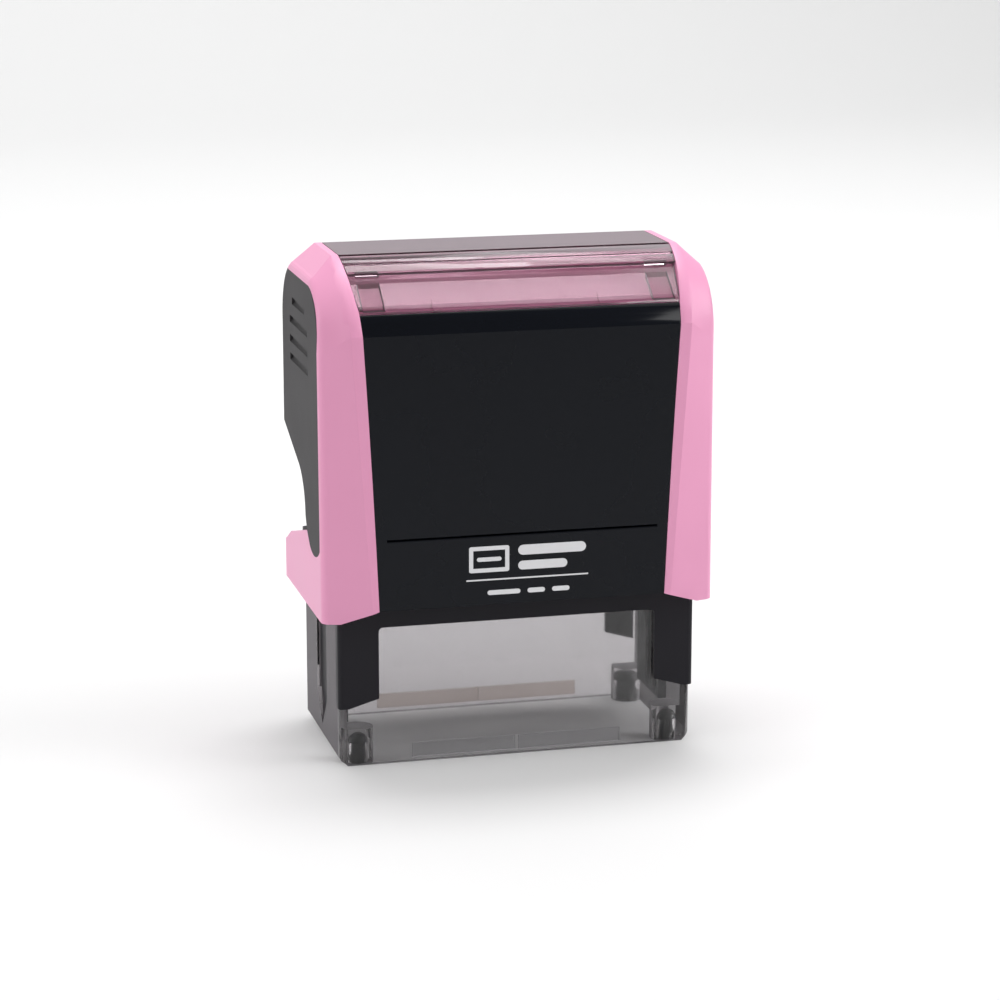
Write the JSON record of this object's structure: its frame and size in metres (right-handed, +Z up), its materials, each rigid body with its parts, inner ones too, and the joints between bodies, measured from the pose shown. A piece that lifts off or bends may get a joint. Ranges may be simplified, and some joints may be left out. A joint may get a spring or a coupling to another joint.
{
  "type": "self inking stamp",
  "caption": "Self inking stamp: a pressed cap turns a rubber die from its ink pad down to the paper inside a clear base.",
  "frame": {"origin": "middle of the base on the paper plane", "axes": "+Z up, front panel faces -Y, +X to the right seen from the front"},
  "size_m": [0.0668, 0.0384, 0.0846],
  "materials": {
    "clear_plastic": "clear, slightly smoky, polished",
    "black_plastic": "satin black",
    "panel_plastic": "semi-gloss black",
    "pink_plastic": "satin pink",
    "grip_rubber": "matt dark grey soft-touch",
    "foot_rubber": "matt black",
    "pad_felt": "felt soaked with dark ink",
    "card": "pale card",
    "spring_steel": "bright wire",
    "cushion_foam": "grey foam",
    "die_rubber": "dark red rubber"
  },
  "bodies": {
    "base": {"clear_base": "clear_plastic", "foot_front_left": "foot_rubber", "foot_front_right": "foot_rubber", "foot_rear_left": "foot_rubber", "foot_rear_right": "foot_rubber", "inner_housing": "black_plastic", "guide_cheek_left": "black_plastic", "guide_cheek_right": "black_plastic", "ink_cartridge": "black_plastic", "ink_pad": "pad_felt", "spring_left": "spring_steel", "spring_right": "spring_steel"},
    "cap": {"cap_shell": "pink_plastic", "front_panel": "panel_plastic", "rear_panel": "panel_plastic", "press_yoke": "black_plastic", "grip_left": "grip_rubber", "grip_right": "grip_rubber", "label_card": "card"},
    "carriage": {"die_carriage": "black_plastic", "die_cushion": "cushion_foam", "rubber_die": "die_rubber"},
    "cover": {"label_cover": "clear_plastic"},
    "button": {"lock_button": "panel_plastic"}
  },
  "joints": [
    {"name": "cap_press", "type": "slide", "parent": "base", "child": "cap", "axis": [0, 0, -1], "range_m": [0, 0.024], "stiffness_N_per_m": 300, "springref_m": -0.02, "deforming": ["spring_left", "spring_right"]},
    {"name": "carriage_flip", "type": "hinge", "parent": "cap", "child": "carriage", "pos_m": [0, 0, 0.03165], "axis": [-1, 0, 0], "range_deg": [0, 180]},
    {"name": "lock_button_push", "type": "slide", "parent": "cap", "child": "button", "axis": [0, -1, 0], "range_m": [0, 0.0016], "stiffness_N_per_m": 400, "springref_m": -0.001},
    {"name": "label_cover_lift", "type": "slide", "parent": "cap", "child": "cover", "axis": [0, 0, 1], "range_m": [0, 0.012]}
  ],
  "couplings": [
    {"joint": "carriage_flip", "follows": "cap_press", "rad_per_m": 130.9}
  ]
}
